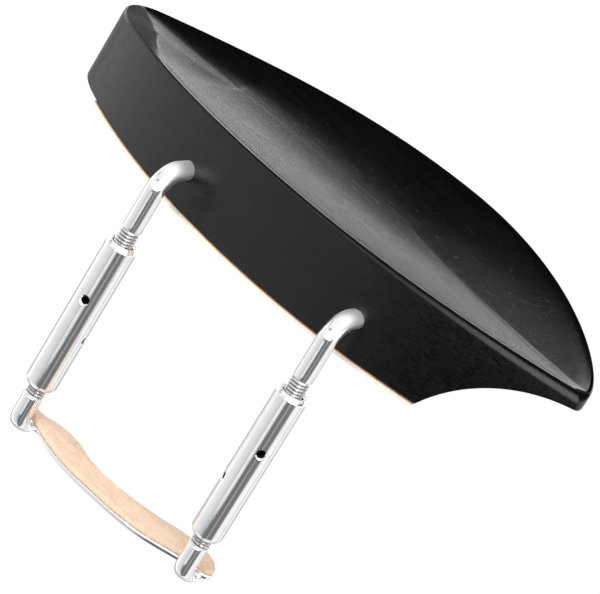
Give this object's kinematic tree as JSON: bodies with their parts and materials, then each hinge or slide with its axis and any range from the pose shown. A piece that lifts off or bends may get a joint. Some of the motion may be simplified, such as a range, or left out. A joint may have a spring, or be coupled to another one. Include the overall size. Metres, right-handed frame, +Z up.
{
  "type": "violin chin rest",
  "caption": "Side-mounted violin chin rest: a carved dark plate on a cork-lined foot, held by twin hooks, screw barrels and a cork-lined clamp plate.",
  "frame": {"origin": "on the flat underside of the foot cork, 7.8 mm behind the wall's foremost point and 4.1 mm left of it", "axes": "+X along the wall that the clamp hooks enter, towards the winged tip; +Y from the clamp over the instrument's top; +Z up, away from the instrument"},
  "size_m": [0.1267, 0.0679, 0.0734],
  "materials": {
    "ebony": "fine-grained black hardwood, satin with a soft sheen",
    "cork": "thin sheet cork, matte, fine grain",
    "chrome": "bright plated, polished"
  },
  "bodies": {
    "rest": {"rest_plate": "ebony", "foot_cork": "cork"},
    "hooks": {"hook_left": "chrome", "hook_right": "chrome"},
    "bracket": {"stud_left": "chrome", "stud_right": "chrome", "clamp_plate": "chrome", "clamp_cork": "cork"},
    "barrel_l": {"barrel_left": "chrome"},
    "barrel_r": {"barrel_right": "chrome"}
  },
  "joints": [
    {"name": "hook_slide", "type": "slide", "parent": "rest", "child": "hooks", "axis": [0, 1, 0], "range_m": [-0.008, 0.001]},
    {"name": "clamp_travel", "type": "slide", "parent": "hooks", "child": "bracket", "axis": [0, 0, 1], "range_m": [-0.007, 0.0105]},
    {"name": "barrel_left_turn", "type": "hinge", "parent": "bracket", "child": "barrel_l", "pos_m": [-0.0227, -0.01186, -0.0255], "axis": [0, 0, 1], "range_deg": [-1810, 2710]},
    {"name": "barrel_right_turn", "type": "hinge", "parent": "bracket", "child": "barrel_r", "pos_m": [0.0227, -0.01186, -0.0255], "axis": [0, 0, 1], "range_deg": [-1810, 2710]}
  ],
  "couplings": [
    {"joint": "barrel_left_turn", "follows": "clamp_travel", "rad_per_m": 4488},
    {"joint": "barrel_right_turn", "follows": "clamp_travel", "rad_per_m": 4488}
  ]
}
